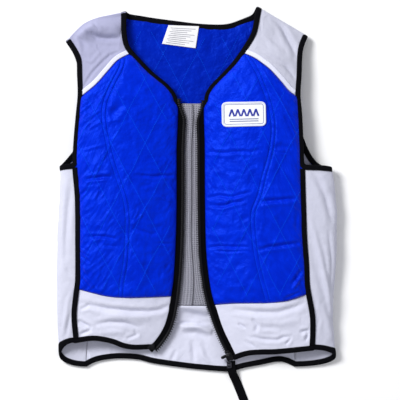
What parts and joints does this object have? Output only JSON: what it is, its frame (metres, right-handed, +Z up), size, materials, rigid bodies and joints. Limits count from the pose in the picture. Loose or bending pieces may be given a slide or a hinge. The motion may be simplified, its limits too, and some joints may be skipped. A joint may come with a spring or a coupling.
{
  "type": "cooling vest",
  "caption": "Sleeveless quilted vest with stretch shoulders and sides, bound edges and an open front zip, lying on its back.",
  "frame": {"origin": "middle of the lying vest's box, on the surface it lies on", "axes": "+Y from the hem to the neck, +Z up from the surface, +X to the wearer's left"},
  "size_m": [0.4884, 0.7088, 0.0411],
  "materials": {
    "blue_quilt": "lightly sheened woven polyester, quilted",
    "white_stretch": "soft matt stretch knit",
    "black_binding": "ribbed matt tape",
    "zip_plastic": "moulded, slightly glossy",
    "grey_mesh": "open dotted mesh",
    "dark_metal": "dark, slightly worn",
    "patch_cloth": "woven and embroidered",
    "label_cloth": "smooth satin"
  },
  "bodies": {
    "root": {"back_quilted_panel": "blue_quilt", "back_lower_band": "white_stretch", "neckline_binding": "black_binding", "hem_binding": "black_binding", "zip_box": "zip_plastic", "zip_pin": "zip_plastic", "zip_slider": "dark_metal", "zip_puller": "dark_metal", "pull_strap": "black_binding", "chest_patch": "patch_cloth", "care_label": "label_cloth", "right_front_quilted_panel": "blue_quilt", "right_front_band": "white_stretch", "right_shoulder_yoke": "white_stretch", "right_side_panel": "white_stretch", "right_armhole_binding": "black_binding", "right_side_seam_tape": "black_binding", "right_zip_tape": "black_binding", "right_zip_teeth": "zip_plastic", "right_zip_facing": "grey_mesh", "left_front_quilted_panel": "blue_quilt", "left_front_band": "white_stretch", "left_shoulder_yoke": "white_stretch", "left_side_panel": "white_stretch", "left_armhole_binding": "black_binding", "left_side_seam_tape": "black_binding", "left_zip_tape": "black_binding", "left_zip_teeth": "zip_plastic", "left_zip_facing": "grey_mesh"}
  },
  "joints": []
}
